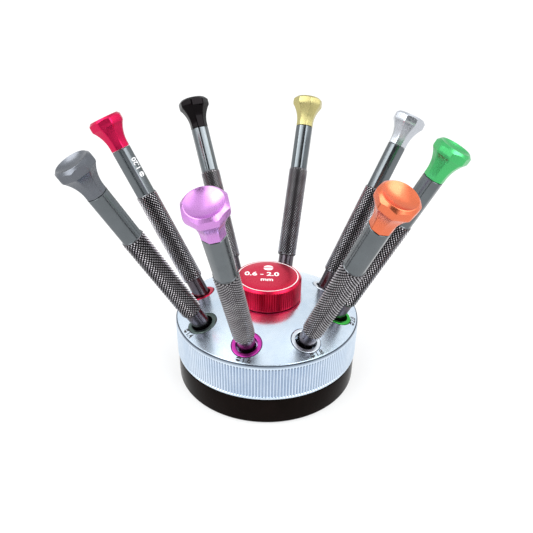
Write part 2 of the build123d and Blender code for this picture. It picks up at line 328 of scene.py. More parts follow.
def linear(red, green, blue):
    """A colour given as 0 to 255 screen values."""
    def one(value):
        share = value / 255
        return share / 12.92 if share <= 0.04045 else ((share + 0.055) / 1.055) ** 2.4
    return (one(red), one(green), one(blue), 1.0)

CLOUD_RANGE = (0.35, 0.65)
GRAIN_RANGE = (0.3, 0.7)

class Finish:
    """A procedural material under construction: small helpers around its node tree."""

    def __init__(self, name, metallic=0.0, coat=0.0, coat_roughness=0.05, anisotropic=0.0):
        self.material = bpy.data.materials.new(name)
        self.material.use_nodes = True
        self.nodes = self.material.node_tree.nodes
        self.links = self.material.node_tree.links
        self.shader = self.nodes["Principled BSDF"]
        self.shader.inputs["Metallic"].default_value = metallic
        self.shader.inputs["Coat Weight"].default_value = coat
        self.shader.inputs["Coat Roughness"].default_value = coat_roughness
        self.shader.inputs["Anisotropic"].default_value = anisotropic
        self.place = self.nodes.new("ShaderNodeTexCoord").outputs["Object"]
        self.normal = None

    def scaled(self, x, y, z):
        """The object's own coordinates, stretched."""
        node = self.nodes.new("ShaderNodeMapping")
        node.inputs["Scale"].default_value = (x, y, z)
        self.links.new(self.place, node.inputs["Vector"])
        return node.outputs["Vector"]

    def noise(self, size, detail=3.0, stretch=(1, 1, 1)):
        """Cloudy noise with features of about this size in millimetres."""
        node = self.nodes.new("ShaderNodeTexNoise")
        node.inputs["Scale"].default_value = 1 / (size * MM)
        node.inputs["Detail"].default_value = detail
        self.links.new(self.scaled(*stretch), node.inputs["Vector"])
        return node.outputs["Fac"]

    def fitted(self, value, low, high, to_low=0.0, to_high=1.0):
        """A value carried from one range to another."""
        node = self.nodes.new("ShaderNodeMapRange")
        for name, number in zip(("From Min", "From Max", "To Min", "To Max"), (low, high, to_low, to_high)):
            node.inputs[name].default_value = number
        self.links.new(value, node.inputs["Value"])
        return node.outputs["Result"]

    def cloud(self, size, detail=3.0):
        """Noise stretched to run from 0 to 1."""
        return self.fitted(self.noise(size, detail), *CLOUD_RANGE)

    def height(self):
        """Height in the piece's own coordinates, in metres."""
        node = self.nodes.new("ShaderNodeSeparateXYZ")
        self.links.new(self.place, node.inputs["Vector"])
        return node.outputs["Z"]

    def axis_distance(self):
        """Distance from the piece's own axis, kept at each point of its mesh."""
        node = self.nodes.new("ShaderNodeAttribute")
        node.attribute_name = AXIS_DISTANCE
        return node.outputs["Fac"]

    def mix(self, share, first, second):
        """A colour between two colours, each a tuple or a socket."""
        node = self.nodes.new("ShaderNodeMix")
        node.data_type = "RGBA"
        self.links.new(share, node.inputs["Factor"])
        for name, colour in (("A", first), ("B", second)):
            target = next(i for i in node.inputs if i.name == name and i.type == "RGBA")
            if isinstance(colour, tuple):
                target.default_value = colour
            else:
                self.links.new(colour, target)
        return next(o for o in node.outputs if o.type == "RGBA")

    def colour(self, socket):
        """Sets the base colour."""
        self.links.new(socket, self.shader.inputs["Base Color"])

    def roughness(self, socket):
        """Sets the roughness."""
        self.links.new(socket, self.shader.inputs["Roughness"])

    def uneven_roughness(self, noise, low, high):
        """Sets a roughness that follows a noise."""
        self.roughness(self.fitted(noise, *GRAIN_RANGE, low, high))

    def turning_marks(self):
        """Stretches highlights as turning on a lathe about +Z does."""
        node = self.nodes.new("ShaderNodeTangent")
        node.direction_type = "RADIAL"
        node.axis = "Z"
        self.links.new(node.outputs["Tangent"], self.shader.inputs["Tangent"])

    def multiply(self, first, second):
        """The product of two values."""
        node = self.nodes.new("ShaderNodeMath")
        node.operation = "MULTIPLY"
        self.links.new(first, node.inputs[0])
        self.links.new(second, node.inputs[1])
        return node.outputs["Value"]

    def bump(self, value, depth):
        """Adds relief of this depth in millimetres."""
        node = self.nodes.new("ShaderNodeBump")
        node.inputs["Strength"].default_value = 1.0
        node.inputs["Distance"].default_value = depth * MM
        self.links.new(value, node.inputs["Height"])
        if self.normal:
            self.links.new(self.normal, node.inputs["Normal"])
        self.normal = node.outputs["Normal"]
        self.links.new(self.normal, self.shader.inputs["Normal"])

def darker(colour, share):
    """A colour at a share of its brightness."""
    return tuple(c * share for c in colour[:3]) + (1.0,)

def machined(name, colour, rough, tint=0.82, grain=0.25, relief=0.004, **shader):
    """Bare or anodised metal: fine grain, faint clouding and hairline wear."""
    finish = Finish(name, metallic=1.0, **shader)
    finish.colour(finish.mix(finish.cloud(6.0), darker(colour, tint), colour))
    hairline = finish.noise(0.35, detail=2.0, stretch=(1, 1, 0.04))
    finish.uneven_roughness(hairline, rough * 0.8, rough * 1.25)
    finish.bump(finish.noise(grain, detail=4.0), relief)
    return finish.material

def anodised_cap():
    """Crimson anodising with a glossier turned top, painted a lighter, pinker crimson than the sides as
    painted light.
    """
    finish = Finish("cap_anodised", metallic=1.0, coat_roughness=0.2)
    # Painted light: the top is painted lighter and pinker than the sides, which are its shaded copy.
    top = finish.fitted(finish.height(), (CAP_TOP - 1.0) * MM, (CAP_TOP - 0.1) * MM)
    side = finish.mix(finish.cloud(6.0), linear(180, 25, 54), linear(200, 29, 60))
    finish.colour(finish.mix(top, side, linear(218, 30, 70)))
    gloss = finish.fitted(top, 0.0, 1.0, to_high=0.15)
    finish.links.new(gloss, finish.shader.inputs["Coat Weight"])
    fine = finish.noise(0.2, detail=4.0)
    finish.uneven_roughness(fine, 0.25, 0.36)
    finish.bump(fine, 0.003)
    return finish.material

def turned_aluminium():
    """Pale blue-silver satin, turned on a lathe, with painted shade in the rim's grooves, darkest at their
    tops under the bevel.
    """
    finish = Finish("table_aluminium", metallic=1.0, anisotropic=0.75)
    finish.turning_marks()
    distance = finish.axis_distance()
    # Painted shade: the rim's grooves are painted a darker grey-blue by their depth.
    groove_floor = TABLE_RADIUS - FLUTE_DEPTH
    outside = finish.fitted(distance, (TABLE_RADIUS - 0.85) * MM, (groove_floor - 0.1) * MM)
    inside = finish.fitted(distance, groove_floor * MM, (TABLE_RADIUS - 0.04) * MM, 1.0, 0.0)
    groove_shade = finish.multiply(outside, inside)
    # Painted shade: the tops of the grooves, under the bevel, are painted nearly black.
    shade_under_bevel = finish.fitted(finish.height(), (RIM_TOP - 1.2) * MM, (RIM_TOP - 0.3) * MM)
    skin = finish.mix(finish.cloud(7.0), linear(206, 221, 236), linear(218, 230, 242))
    groove_shaded = finish.mix(groove_shade, skin, linear(160, 176, 200))
    finish.colour(finish.mix(finish.multiply(groove_shade, shade_under_bevel), groove_shaded, linear(26, 32, 42)))
    finish.uneven_roughness(finish.noise(0.4), 0.2, 0.27)
    rings = finish.nodes.new("ShaderNodeTexNoise")
    rings.noise_dimensions = "1D"
    rings.inputs["Scale"].default_value = 1 / (0.12 * MM)
    finish.links.new(distance, rings.inputs["W"])
    finish.bump(rings.outputs["Fac"], 0.002)
    finish.bump(finish.noise(0.25), 0.003)
    return finish.material

def knurled_steel():
    """Gunmetal knurl: bright worn crests and grooves darkened with painted shade."""
    finish = Finish("knurled_steel", metallic=1.0)
    height = finish.fitted(finish.axis_distance(), (GRIP_RADIUS - KNURL_DEPTH) * MM, GRIP_RADIUS * MM)
    crest = finish.mix(finish.cloud(5.0), linear(165, 161, 165), linear(193, 190, 193))
    # Painted shade: the colour darkens from the crests down into the grooves.
    finish.colour(finish.mix(finish.fitted(height, 0.25, 1.0), linear(32, 29, 31), crest))
    finish.roughness(finish.fitted(height, 0.0, 1.0, 0.5, 0.2))
    finish.bump(finish.noise(0.12), 0.004)
    return finish.material

def lacquer():
    """Glossy black paint with a faint orange peel and dust-fine variation."""
    finish = Finish("base_lacquer")
    finish.shader.inputs["Specular IOR Level"].default_value = 0.03
    finish.colour(finish.mix(finish.cloud(9.0), linear(12, 7, 5), linear(17, 10, 8)))
    finish.uneven_roughness(finish.noise(1.2), 0.16, 0.26)
    finish.bump(finish.noise(1.4, detail=1.0), 0.006)
    return finish.material

def soft_stuff(name, dark, light, size, rough, relief):
    """Rubber, foam or moulded plastic: mottled, matt and finely pitted."""
    finish = Finish(name)
    finish.colour(finish.mix(finish.cloud(size, detail=5.0), dark, light))
    finish.uneven_roughness(finish.noise(size * 3), rough * 0.85, rough * 1.1)
    finish.bump(finish.noise(size), relief)
    return finish.material

def ink(name, colour):
    """Printed ink, slightly uneven."""
    finish = Finish(name)
    finish.colour(finish.mix(finish.cloud(0.6), darker(colour, 0.85), colour))
    finish.uneven_roughness(finish.noise(0.3), 0.35, 0.55)
    finish.bump(finish.noise(0.2), 0.002)
    return finish.material

HEAD_COLOURS = {
    "white": linear(192, 195, 201),
    "gold": linear(188, 178, 122),
    "black": linear(13, 9, 11),
    "red": linear(204, 32, 80),
    "grey": linear(106, 109, 115),
    "purple": linear(204, 142, 212),
    "orange": linear(228, 120, 84),
    "green": linear(78, 184, 110),
}
BUSH_COLOURS = {
    "white": linear(214, 218, 224),
    "gold": linear(206, 176, 80),
    "black": linear(34, 34, 36),
    "red": linear(200, 30, 66),
    "grey": linear(98, 112, 108),
    "purple": linear(198, 66, 168),
    "orange": linear(208, 214, 222),
    "green": linear(60, 180, 70),
}
aluminium = turned_aluminium()
crimson = anodised_cap()
flat_steel = machined("handle_flats", linear(106, 111, 114), 0.2, tint=0.9, grain=0.3, relief=0.002)
# Painted shade: the neck is painted darker than the flats of the same steel.
shaded_neck_steel = machined("handle_neck", linear(92, 86, 92), 0.24, tint=0.88, grain=0.3, relief=0.002)
knurl_steel = knurled_steel()
blade_steel = machined("blade_steel", linear(180, 182, 186), 0.22, tint=0.85, grain=0.15)
bright_steel = machined("bearing_steel", linear(205, 207, 210), 0.12, tint=0.9, grain=0.15, relief=0.002)
black_paint = lacquer()
rubber = soft_stuff("foot_rubber", linear(20, 20, 21), linear(34, 34, 36), 0.5, 0.8, 0.03)
foam = soft_stuff("liner_foam", linear(196, 194, 188), linear(226, 224, 218), 0.4, 0.9, 0.05)
moulded = soft_stuff("rack_plastic", linear(34, 35, 38), linear(46, 47, 50), 0.3, 0.5, 0.01)
dark_ink = ink("dark_ink", linear(44, 44, 48))
white_ink = ink("white_ink", linear(240, 240, 240))
HEAD_LOOK = {"tint": 0.95, "grain": 0.5, "relief": 0.0001}
HEAD_COATS = {"black": 0.12}
BUSH_LOOK = {"tint": 0.92, "grain": 0.2, "relief": 0.001}
head_finish = {}
bush_finish = {}
for colour in COLOURS:
    coat = HEAD_COATS.get(colour, 0.0)
    head_finish[colour] = machined(f"head_{colour}", HEAD_COLOURS[colour], 0.28, coat=coat, **HEAD_LOOK)
    bush_finish[colour] = machined(f"bush_{colour}", BUSH_COLOURS[colour], 0.3, **BUSH_LOOK)

# ---- turntable

RIM_POINTS_PER_FLUTE = 5
RIM_POINTS = FLUTES * RIM_POINTS_PER_FLUTE
SECTOR_ARC = RIM_POINTS // DRIVERS
SECTOR_INNER = 24
SECTOR_SIDE = 14
DOME_RINGS = 14
HOLE_CHAMFER = 0.17
HALVINGS = 30
RINGS_CROWDING = 1.4
FLUTE_DEPTHS = [0, 0, 0.7, 1.0, 0.7]
FLUTE_SHARES = [0, 0.3, 0.45, 0.65, 0.85]
FIRST_EDGE = FIRST_AZIMUTH - pi / DRIVERS

def rim_angles():
    """Angles of the rim's points: each flute is a flat ridge and a rounded groove."""
    step = 2 * pi / FLUTES
    return [FIRST_EDGE + step * (n + share) for n in range(FLUTES) for share in FLUTE_SHARES]

def polar(radius, angle, height):
    """A point at a radius and angle about +Z."""
    return (radius * cos(angle), radius * sin(angle), height)

def sector_outline(index):
    """The flat outline of one eighth of the dome, anticlockwise."""
    angles = rim_angles() + [FIRST_EDGE + 2 * pi]
    outer = [(DOME_EDGE_RADIUS, a) for a in angles[index * SECTOR_ARC:(index + 1) * SECTOR_ARC + 1]]
    low = FIRST_EDGE + 2 * pi / DRIVERS * index
    high = low + 2 * pi / DRIVERS
    span = DOME_EDGE_RADIUS - SEAT_RADIUS
    inward = [(DOME_EDGE_RADIUS - span * n / SECTOR_SIDE, high) for n in range(1, SECTOR_SIDE)]
    inner = [(SEAT_RADIUS, high + (low - high) * n / SECTOR_INNER) for n in range(SECTOR_INNER + 1)]
    outward = [(SEAT_RADIUS + span * n / SECTOR_SIDE, low) for n in range(1, SECTOR_SIDE)]
    return [Vector(polar(r, a, 0)).to_2d() for r, a in outer + inward + inner + outward]

def on_dome(flat):
    """The dome's point above a flat point."""
    return Vector((flat.x, flat.y, dome_height(flat.length)))

def hole_edge(to_socket, centre, toward, radius):
    """Where a line on the dome from the socket's centre meets the hole, by halving."""
    near, far = 0.0, 1.0
    for _ in range(HALVINGS):
        middle = (near + far) / 2
        local = to_socket @ on_dome(centre.lerp(toward, middle))
        if hypot(local.x, local.y) < radius:
            near = middle
        else:
            far = middle
    return centre.lerp(toward, far)

def dome_sector(shell, index):
    """One eighth of the dome around its socket, and the stepped hole."""
    place = socket_place(index)
    to_socket = place.inverted()
    centre = (place @ Vector((0, 0, -0.9))).to_2d()
    outline = sector_outline(index)
    edge = [hole_edge(to_socket, centre, point, BUSH_RADIUS + HOLE_CHAMFER) for point in outline]
    hole = shell.ring(on_dome(point) for point in edge)
    shares = [(n / DOME_RINGS) ** RINGS_CROWDING for n in range(1, DOME_RINGS + 1)]
    rows = ([on_dome(a.lerp(b, share)) for a, b in zip(edge, outline)] for share in shares)
    shell.climb(hole, (shell.ring(row) for row in rows))
    local = [to_socket @ shell.points[p] for p in hole]
    angles = [atan2(p.y, p.x) for p in local]
    chamfer = [place @ Vector(polar(BUSH_RADIUS, a, p.z - HOLE_CHAMFER)) for a, p in zip(angles, local)]
    steps = [
        (BUSH_RADIUS, -BUSH_LENGTH), (NECK_HOLE, -BUSH_LENGTH), (NECK_HOLE, NECK_HOLE_BOTTOM),
        (BLADE_HOLE, NECK_HOLE_BOTTOM), (BLADE_HOLE, BLADE_HOLE_BOTTOM),
    ]
    rows = [chamfer] + [[place @ Vector(polar(r, a, z)) for a in angles] for r, z in steps]
    last = shell.climb(hole, (shell.ring(row) for row in rows))
    shell.fan(last, place @ Vector((0, 0, BLADE_HOLE_BOTTOM)))

def upright(shell, last, angles, rows):
    """Bands through rows of one (radius, height) for each angle. Returns the last ring."""
    rings = (shell.ring(polar(r, a, z) for a, (r, z) in zip(angles, row)) for row in rows)
    return shell.climb(last, rings)

def table_rim(shell):
    """The bevel, the straight flutes that run out into it, the lip below them and the underside."""
    angles = rim_angles()
    depths = [FLUTE_DEPTH * share for share in FLUTE_DEPTHS] * FLUTES
    starts = [RIM_TOP - 0.1 - 0.4 * (1 - d / FLUTE_DEPTH) for d in depths]
    rows = [
        [(DOME_EDGE_RADIUS, DOME_EDGE_Z)] * RIM_POINTS,
        [(DOME_EDGE_RADIUS + 0.1, DOME_EDGE_Z - 0.14)] * RIM_POINTS,
        [(TABLE_RADIUS - 0.3, DOME_EDGE_Z - 0.42)] * RIM_POINTS,
        [(TABLE_RADIUS, RIM_TOP)] * RIM_POINTS,
        [(TABLE_RADIUS, z) for z in starts],
        [(TABLE_RADIUS - d, z - 0.3) for d, z in zip(depths, starts)],
        [(TABLE_RADIUS - d, LIP_TOP + 0.35) for d in depths],
        [(TABLE_RADIUS, LIP_TOP)] * RIM_POINTS,
        [(TABLE_RADIUS, TABLE_BOTTOM + 0.25)] * RIM_POINTS,
        [(TABLE_RADIUS - 0.25, TABLE_BOTTOM)] * RIM_POINTS,
    ]
    last = upright(shell, None, angles, rows)
    last = shell.lathe([(TABLE_RADIUS - 2, TABLE_BOTTOM)], OUTSIDE_POINTS, last)
    under = [
        (BEARING_RADIUS + BORE_CHAMFER, TABLE_BOTTOM), (BEARING_RADIUS, TABLE_BOTTOM + BORE_CHAMFER),
        (BEARING_RADIUS, BEARING_TOP), (RELIEF_RADIUS, BEARING_TOP), (RELIEF_RADIUS, RELIEF_TOP),
    ]
    last = shell.lathe(under, BORE_POINTS, last)
    shell.fan(last, (0, 0, RELIEF_TOP))

def thread_radius(angle, height):
    """The collar's radius on its single-start thread, which fades out at both ends."""
    fade = min(1, (height - SEAT_Z - 0.4) / 0.8, (COLLAR_TOP - 0.5 - height) / 0.6)
    phase = height / THREAD_PITCH - angle / (2 * pi)
    return COLLAR_RADIUS - THREAD_DEPTH * max(0, fade) * (0.5 - 0.5 * cos(2 * pi * phase))

def collar_and_well(shell):
    """The flat seat, the threaded collar and the well for spare blades."""
    points = SECTOR_INNER * DRIVERS
    angles = [FIRST_EDGE + 2 * pi / points * n for n in range(points)]
    rows = [[(SEAT_RADIUS, dome_height(SEAT_RADIUS))] * points]
    rows += [[(SEAT_RADIUS - 0.2, SEAT_Z)] * points, [(COLLAR_RADIUS, SEAT_Z)] * points]
    low = SEAT_Z + 0.3
    high = COLLAR_TOP - 0.4
    for n in range(THREAD_ROWS + 1):
        height = low + (high - low) * n / THREAD_ROWS
        rows.append([(thread_radius(a, height), height) for a in angles])
    inside = [(COLLAR_RADIUS - 0.4, COLLAR_TOP), (WELL_RADIUS + 0.2, COLLAR_TOP)]
    inside += [(WELL_RADIUS, COLLAR_TOP - 0.2), (WELL_RADIUS, WELL_FLOOR)]
    rows += [[corner] * points for corner in inside]
    shell.fan(upright(shell, None, angles, rows), (0, 0, WELL_FLOOR))

def make_turntable():
    """The whole turntable as one closed mesh."""
    shell = Shell()
    for index in range(DRIVERS):
        dome_sector(shell, index)
    table_rim(shell)
    collar_and_well(shell)
    made = shell.piece("domed_turntable", [aluminium], sharp=radians(20), merge=0.004)
    install(made, "turntable", "table_aluminium", "turntable")

# ---- base, foot and cap

CAP_FLUTE_SHARES = [0, 0.22, 0.44, 0.6, 0.72, 0.86]
CAP_FLUTE_DEPTHS = [0, 0, 0, 0.75, 1, 0.75]
CAP_FACE_RADIUS = 9.0

def make_base():
    """The lacquered round base with its pockets."""
    outside = softened([
        (SPINDLE_SEAT_RADIUS, BASE_TOP, 0), (BASE_RADIUS, BASE_TOP, 0.6),
        (BASE_RADIUS, BASE_BOTTOM, 1.0), (FOOT_RADIUS, BASE_BOTTOM, 0),
    ])
    cone_top = FOOT_TOP + SCREW_HEAD_RADIUS - SCREW_RADIUS
    pockets = [
        (FOOT_RADIUS, FOOT_TOP), (SCREW_HEAD_RADIUS, FOOT_TOP), (SCREW_RADIUS, cone_top),
        (SCREW_RADIUS, SPINDLE_SEAT_Z), (SPINDLE_SEAT_RADIUS, SPINDLE_SEAT_Z),
    ]
    shell = Shell()
    shell.turned(outside + pockets, OUTSIDE_POINTS)
    made = shell.piece("lacquered_base", [black_paint])
    install(made, "base", "base_black", "base_housing")

def make_foot():
    """The rubber pad, with shallow rings moulded into its underside."""
    grooves = []
    for n in range(FOOT_GROOVES):
        radius = FOOT_GROOVE_START + FOOT_GROOVE_PITCH * n
        grooves += [(radius, 0), (radius + 0.3, FOOT_GROOVE_DEPTH)]
        grooves += [(radius + 1.1, FOOT_GROOVE_DEPTH), (radius + 1.4, 0)]
    outside = [(FOOT_RADIUS - 0.4, 0), (FOOT_RADIUS, 0.4), (FOOT_RADIUS, FOOT_TOP)]
    shell = Shell()
    last = shell.lathe(grooves + outside, ROUND_POINTS)
    shell.fan(list(range(ROUND_POINTS)), (0, 0, 0))
    shell.fan(last, (0, 0, FOOT_TOP))
    made = shell.piece("ribbed_foot", [rubber])
    install(made, "base", "foot_rubber", "foot_pad")

def make_cap():
    """The fluted screw cap, hollow below."""
    depths = [CAP_FLUTE_DEPTH * d for d in CAP_FLUTE_DEPTHS] * CAP_FLUTES
    step = 2 * pi / CAP_FLUTES
    angles = [step * (n + share) for n in range(CAP_FLUTES) for share in CAP_FLUTE_SHARES]
    points = len(angles)
    rows = [
        [(CAP_RADIUS - 0.55, CAP_BOTTOM)] * points,
        [(CAP_RADIUS - CAP_FLUTE_DEPTH, CAP_BOTTOM + 0.2)] * points,
        [(CAP_RADIUS - d, CAP_BOTTOM + 0.55) for d in depths],
        [(CAP_RADIUS - d, CAP_TOP - 0.95 + 0.9 * d) for d in depths],
        [(CAP_RADIUS - 0.7, CAP_TOP - 0.25)] * points,
        [(CAP_RADIUS - 0.82, CAP_TOP - 0.08)] * points,
        [(CAP_RADIUS - 1.0, CAP_TOP)] * points,
    ]
    shell = Shell()
    last = upright(shell, None, angles, rows)
    bottom = list(range(points))
    shell.fan(shell.lathe([(CAP_FACE_RADIUS, CAP_TOP)], BORE_POINTS, last), (0, 0, CAP_TOP))
    bore = [
        (CAP_BORE + BORE_CHAMFER, CAP_BOTTOM), (CAP_BORE, CAP_BOTTOM + BORE_CHAMFER),
        (CAP_BORE, CAP_CEILING),
    ]
    shell.fan(shell.lathe(bore, BORE_POINTS, bottom), (0, 0, CAP_CEILING))
    made = shell.piece("fluted_cap", [crimson], sharp=radians(24))
    install(made, "cap", "cap_red", "cap")

# ---- printed marks

MARK_THICKNESS = 0.02
SIZE_HEIGHT = 2.2
SIZE_START = (0.2, -0.4 * SIZE_HEIGHT)
SIZE_INSET = 1.15
SIZE_ICON_CENTRE = (-1.3, 0.2)
SIZE_ICON_RADIUS = 1.1
ICON_SLOT = 0.17
ICON_STEPS = 14
CAPITAL_SHARE = 0.7
BOLDNESS = 0.035
CAP_RING = (13.35, 13.75)
CAP_ICON_CENTRE = (0, 7.4)
CAP_ICON_RADIUS = 2.3
CAP_RANGE = ("0.6 - 2.0", (-10.6, 0.0), 3.3)
CAP_UNIT = ("mm", (-3.2, -4.6), 2.6)

def flat_solid(shell, outline):
    """A thin slab from a flat outline, MARK_THICKNESS to either side of it."""
    low = shell.ring((x, y, -MARK_THICKNESS) for x, y in outline)
    high = shell.ring((x, y, MARK_THICKNESS) for x, y in outline)
    shell.band(low, high)
    shell.face(low)
    shell.face(high)

def icon(shell, centre, size):
    """A screw head seen from above: two half discs either side of a slot."""
    x, y = centre
    reach = acos(ICON_SLOT)
    for side in (1, -1):
        angles = [side * (pi / 2 - reach + 2 * reach * n / ICON_STEPS) for n in range(ICON_STEPS + 1)]
        flat_solid(shell, [(x + size * cos(a), y + size * sin(a)) for a in angles])

def lettering(shell, text, start, height):
    """Adds numerals as thin solids, starting at a point."""
    x, y = start
    curve = bpy.data.curves.new("numerals", "FONT")
    curve.body = text
    curve.size = height / CAPITAL_SHARE
    curve.extrude = MARK_THICKNESS
    curve.offset = height * BOLDNESS
    curve.resolution_u = 3
    holder = bpy.data.objects.new("numerals", curve)
    bpy.context.scene.collection.objects.link(holder)
    bpy.context.view_layer.update()
    mesh = bpy.data.meshes.new_from_object(holder)
    first = len(shell.points)
    shell.points.extend(Vector((x + v.co.x, y + v.co.y, v.co.z)) for v in mesh.vertices)
    for polygon in mesh.polygons:
        shell.face([first + v for v in polygon.vertices])
    bpy.data.objects.remove(holder)

def make_size_mark(index, name):
    """A socket's icon and blade size, printed on the dome towards the rim."""
    shell = Shell()
    icon(shell, SIZE_ICON_CENTRE, SIZE_ICON_RADIUS)
    lettering(shell, SIZES[index], SIZE_START, SIZE_HEIGHT)
    azimuth = FIRST_AZIMUTH + 2 * pi / DRIVERS * index
    radius = DOME_EDGE_RADIUS - SIZE_INSET
    for point in shell.points:
        angle = azimuth + point.x / radius
        reach = radius - point.y
        point.xyz = polar(reach, angle, dome_height(reach) + point.z + MARK_THICKNESS / 2)
    made = shell.piece(name, [dark_ink], merge=0.001)
    install(made, "turntable", "base_black")

def make_cap_print():
    """The ring, screw-head icon and size range printed on the cap."""
    shell = Shell()
    inner, outer = CAP_RING
    shell.turned([(inner, -MARK_THICKNESS), (outer, -MARK_THICKNESS),
                  (outer, MARK_THICKNESS), (inner, MARK_THICKNESS)], ROUND_POINTS)
    icon(shell, CAP_ICON_CENTRE, CAP_ICON_RADIUS)
    lettering(shell, *CAP_RANGE)
    lettering(shell, *CAP_UNIT)
    for point in shell.points:
        point.z += CAP_TOP
    made = shell.piece("cap_print", [white_ink], merge=0.001)
    install(made, "cap", "head_white")

# ---- sockets' bushes

def dome_level(place, x, y):
    """How far along a socket's axis the bush's top is, over a point of its frame."""
    start = place @ Vector((x, y, 0)) - Vector((0, 0, DOME_CENTRE_Z))
    along = start.dot(place.col[2].to_3d())
    return sqrt(along**2 - start.length_squared + (DOME_SPHERE + BUSH_PROUD) ** 2) - along

def make_bush(index, colour):
    """The coloured ring that lines a socket, its top following the dome, with a fine gap around it."""
    place = socket_place(index)
    shell = Shell()

    def under_dome(radius, drop):
        spots = circle(radius, 0, BORE_POINTS)
        return shell.ring((x, y, dome_level(place, x, y) - drop) for x, y, _ in spots)

    outline = [(BUSH_BORE, -BUSH_LENGTH), (BUSH_RADIUS, -BUSH_LENGTH), (BUSH_RADIUS, BUSH_WAIST)]
    waist = shell.lathe(outline, BORE_POINTS)
    top = [
        (BUSH_RADIUS - BUSH_GAP, 0.9), (BUSH_RADIUS - BUSH_GAP, 0.2), (BUSH_RADIUS - 0.27, 0.06),
        (BUSH_RADIUS - 0.4, 0), (BUSH_BORE + 0.25, 0), (BUSH_BORE + 0.07, 0.07), (BUSH_BORE, 0.3),
    ]
    last = shell.climb(waist, (under_dome(radius, drop) for radius, drop in top))
    shell.band(last, list(range(BORE_POINTS)))
    made = shell.piece(f"lined_bush_{index + 1}", [bush_finish[colour]], in_metres(place))
    install(made, "turntable", f"bush_{colour}", f"socket_bush_{index + 1}")

# ---- drivers

SECTION_OFFSETS = [-22.5, -21.2, -LAND_ANGLE, -13, -6.5, 0, 6.5, 13, LAND_ANGLE, 21.2]

def octagon(crown):
    """(angle, ratio of radius to half width) around an octagon of crowned flats and narrow corner lands."""
    out = []
    for flat in range(FLATS):
        for offset in SECTION_OFFSETS:
            swell = crown * max(0, 1 - (offset / LAND_ANGLE) ** 2)
            ratio = min(1 / cos(radians(offset)), LAND_RATIO) + swell
            out.append((2 * pi / FLATS * flat + radians(offset), ratio))
    return out

def octagon_ring(shell, half_width, height, crown):
    """A ring of the octagon's section."""
    return shell.ring(polar(half_width * ratio, angle, height) for angle, ratio in octagon(crown))

def even_ring(shell, radius, height):
    """A circle with its points at the octagon's angles."""
    return shell.ring(polar(radius, angle, height) for angle, _ in octagon(0))

NECK_POINTS = 2 * KNURLS_AROUND
HOLE_COLUMNS = 3
HOLE_ROWS = 8
HOLE_PATCH = 3.2
HOLE_RIM = 0.95

def neck_with_hole(shell, start):
    """The neck's cylinder from a ring upwards, with the set screw's hole at +X. Returns the last ring."""
    low = SCREW_HOLE_Z - HOLE_PATCH / 2
    heights = [low + HOLE_PATCH * n / HOLE_ROWS for n in range(HOLE_ROWS + 1)]
    rings = [shell.ring(circle(NECK_RADIUS, z, NECK_POINTS)) for z in heights]
    shell.band(start, rings[0])
    for low_ring, high_ring in zip(rings, rings[1:]):
        for i in range(HOLE_COLUMNS, NECK_POINTS - HOLE_COLUMNS):
            j = (i + 1) % NECK_POINTS
            shell.face([low_ring[i], low_ring[j], high_ring[j], high_ring[i]])
    columns = [i % NECK_POINTS for i in range(-HOLE_COLUMNS, HOLE_COLUMNS + 1)]
    border = [rings[0][c] for c in columns]
    border += [ring[columns[-1]] for ring in rings[1:-1]]
    border += [rings[-1][c] for c in reversed(columns)]
    border += [ring[columns[0]] for ring in reversed(rings[1:-1])]
    spots = [shell.points[p] for p in border]
    angles = [atan2(p.z - SCREW_HOLE_Z, p.y) for p in spots]
    last = border
    for radius, x in ((HOLE_RIM, None), (SCREW_HOLE_RADIUS, None), (SCREW_HOLE_RADIUS, SCREW_HOLE_FLOOR)):
        round_hole = []
        for a in angles:
            y = radius * cos(a)
            round_hole.append((x or sqrt(NECK_RADIUS**2 - y**2), y, SCREW_HOLE_Z + radius * sin(a)))
        ring = shell.ring(round_hole)
        shell.band(last, ring)
        last = ring
    shell.fan(last, (SCREW_HOLE_FLOOR, 0, SCREW_HOLE_Z))
    return rings[-1]

SIDES = [(1, 0), (0, 1), (-1, 0), (0, -1)]

def knurl(shell, start, kind):
    """Blunt diamonds around the grip, in rows of alternate peaks and valleys. Returns the last ring."""
    low = GRIP_LOW + 0.5
    high = GRIP_HIGH - 0.4
    across = 2 * pi / NECK_POINTS
    rise = (high - low) / KNURL_ROWS
    edge_radius = GRIP_RADIUS - KNURL_DEPTH / 2

    def lattice(i, j, radius):
        return polar(radius, across * i, low + rise * j)

    valleys = {}
    first = shell.ring(lattice(i, 0, edge_radius) for i in range(NECK_POINTS))
    last = shell.ring(lattice(i, KNURL_ROWS, edge_radius) for i in range(NECK_POINTS))
    for i in range(NECK_POINTS):
        valleys[i, 0] = first[i]
        valleys[i, KNURL_ROWS] = last[i]
    for j in range(1, KNURL_ROWS):
        for i in range(NECK_POINTS):
            if (i + j) % 2:
                valleys[i, j] = shell.ring([lattice(i, j, GRIP_RADIUS - KNURL_DEPTH)])[0]
    for j in range(1, KNURL_ROWS):
        for i in range(NECK_POINTS):
            if (i + j) % 2:
                continue
            around = [valleys[(i + a) % NECK_POINTS, j + b] for a, b in SIDES]
            land = [lattice(i + KNURL_LAND * a, j + KNURL_LAND * b, GRIP_RADIUS) for a, b in SIDES]
            top = shell.ring(land)
            shell.face(top, kind)
            shell.band(around, top, kind)
    for j, near, rim in ((0, 1, first), (KNURL_ROWS, KNURL_ROWS - 1, last)):
        for i in range(NECK_POINTS):
            if (i + j) % 2:
                continue
            before, after = rim[i - 1], rim[(i + 1) % NECK_POINTS]
            shell.face([before, rim[i], valleys[i, near]], kind)
            shell.face([rim[i], after, valleys[i, near]], kind)
    shell.band(start, first, kind)
    return last

SHOULDER_SLOPE = 0.9
END_CHAMFER = 0.12

